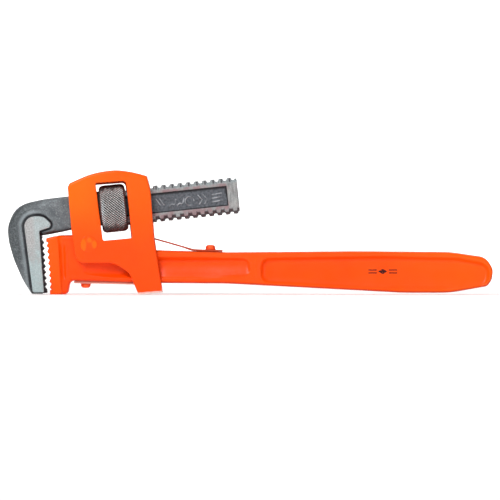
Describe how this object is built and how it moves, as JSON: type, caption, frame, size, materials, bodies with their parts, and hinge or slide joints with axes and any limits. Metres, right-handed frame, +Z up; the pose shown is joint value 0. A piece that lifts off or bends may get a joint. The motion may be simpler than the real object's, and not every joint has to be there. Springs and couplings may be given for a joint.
{
  "type": "pipe wrench",
  "caption": "Adjustable pipe wrench: toothed hook jaw on a threaded shank, knurled nut in a rocking frame, and a forged handle with a fixed toothed heel jaw.",
  "frame": {"origin": "middle of the wrench's bounding box at the surface that it stands on, under the heel jaw and the belly of the grip", "axes": "+X along the handle from the jaws to the end of the grip, +Y across the thickness, +Z up from the handle to the hook jaw's shank"},
  "size_m": [0.3005, 0.0296, 0.0768],
  "materials": {
    "orange_paint": "gloss orange enamel on forged and pressed steel",
    "forged_steel": "dark forged scale with ground flats on the jaw and the shank",
    "knurled_steel": "diamond knurl with dark oxide in the grooves"
  },
  "bodies": {
    "handle": {"handle": "orange_paint", "pivot_pin": "orange_paint", "upper_spring": "orange_paint", "lower_spring": "orange_paint", "upper_rivet": "orange_paint", "lower_rivet": "orange_paint"},
    "frame": {"frame": "orange_paint"},
    "nut": {"adjusting_nut": "knurled_steel"},
    "hook_jaw": {"hook_jaw": "forged_steel"}
  },
  "joints": [
    {"name": "frame_rock", "type": "hinge", "parent": "handle", "child": "frame", "pos_m": [-0.1003, 0, 0.0312], "axis": [0, 1, 0], "range_deg": [-1, 4], "stiffness_Nm_per_rad": 40, "deforming": ["upper_spring", "lower_spring"]},
    {"name": "nut_turn", "type": "hinge", "parent": "frame", "child": "nut", "pos_m": [-0.0853, 0, 0.05335], "axis": [0.9945, 0, 0.1045], "range_deg": [-57, 3969]},
    {"name": "jaw_slide", "type": "slide", "parent": "frame", "child": "hook_jaw", "axis": [-0.9945, 0, -0.1045], "range_m": [-0.0008, 0.056]}
  ],
  "couplings": [
    {"joint": "nut_turn", "follows": "jaw_slide", "rad_per_m": 1236.8}
  ]
}
